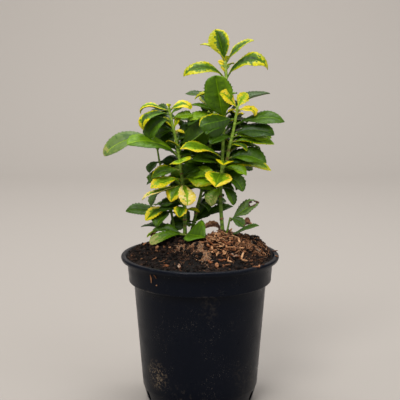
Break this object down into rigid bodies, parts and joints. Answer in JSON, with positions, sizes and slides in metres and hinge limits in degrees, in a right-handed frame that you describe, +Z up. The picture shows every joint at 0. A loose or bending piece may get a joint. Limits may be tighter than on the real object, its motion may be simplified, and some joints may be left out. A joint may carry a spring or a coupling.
{
  "type": "potted evergreen shrub",
  "caption": "Young evergreen spindle shrub with glossy green leaves edged in gold, in a round black nursery pot.",
  "frame": {"origin": "middle of the pot's flat underside", "axes": "+Z up, +Y away from the viewer of the front, +X to that viewer's right"},
  "size_m": [0.1954, 0.17, 0.4011],
  "materials": {
    "pot": "satin",
    "soil": "matte",
    "stem": "satin",
    "leaves": "glossy"
  },
  "bodies": {
    "root": {"pot": "pot", "soil": "soil", "left_stem": "stem", "tall_stem": "stem", "middle_stem": "stem", "side_stem": "stem", "left_lower_leaves": "leaves", "left_middle_leaves": "leaves", "left_top_leaves": "leaves", "tall_lower_leaves": "leaves", "tall_middle_leaves": "leaves", "tall_top_leaves": "leaves", "right_lower_leaves": "leaves", "right_top_leaves": "leaves", "middle_lower_leaves": "leaves", "middle_top_leaves": "leaves", "side_leaves": "leaves", "left_foot_leaves": "leaves", "right_foot_leaves": "leaves", "side_foot_leaves": "leaves"}
  },
  "joints": []
}
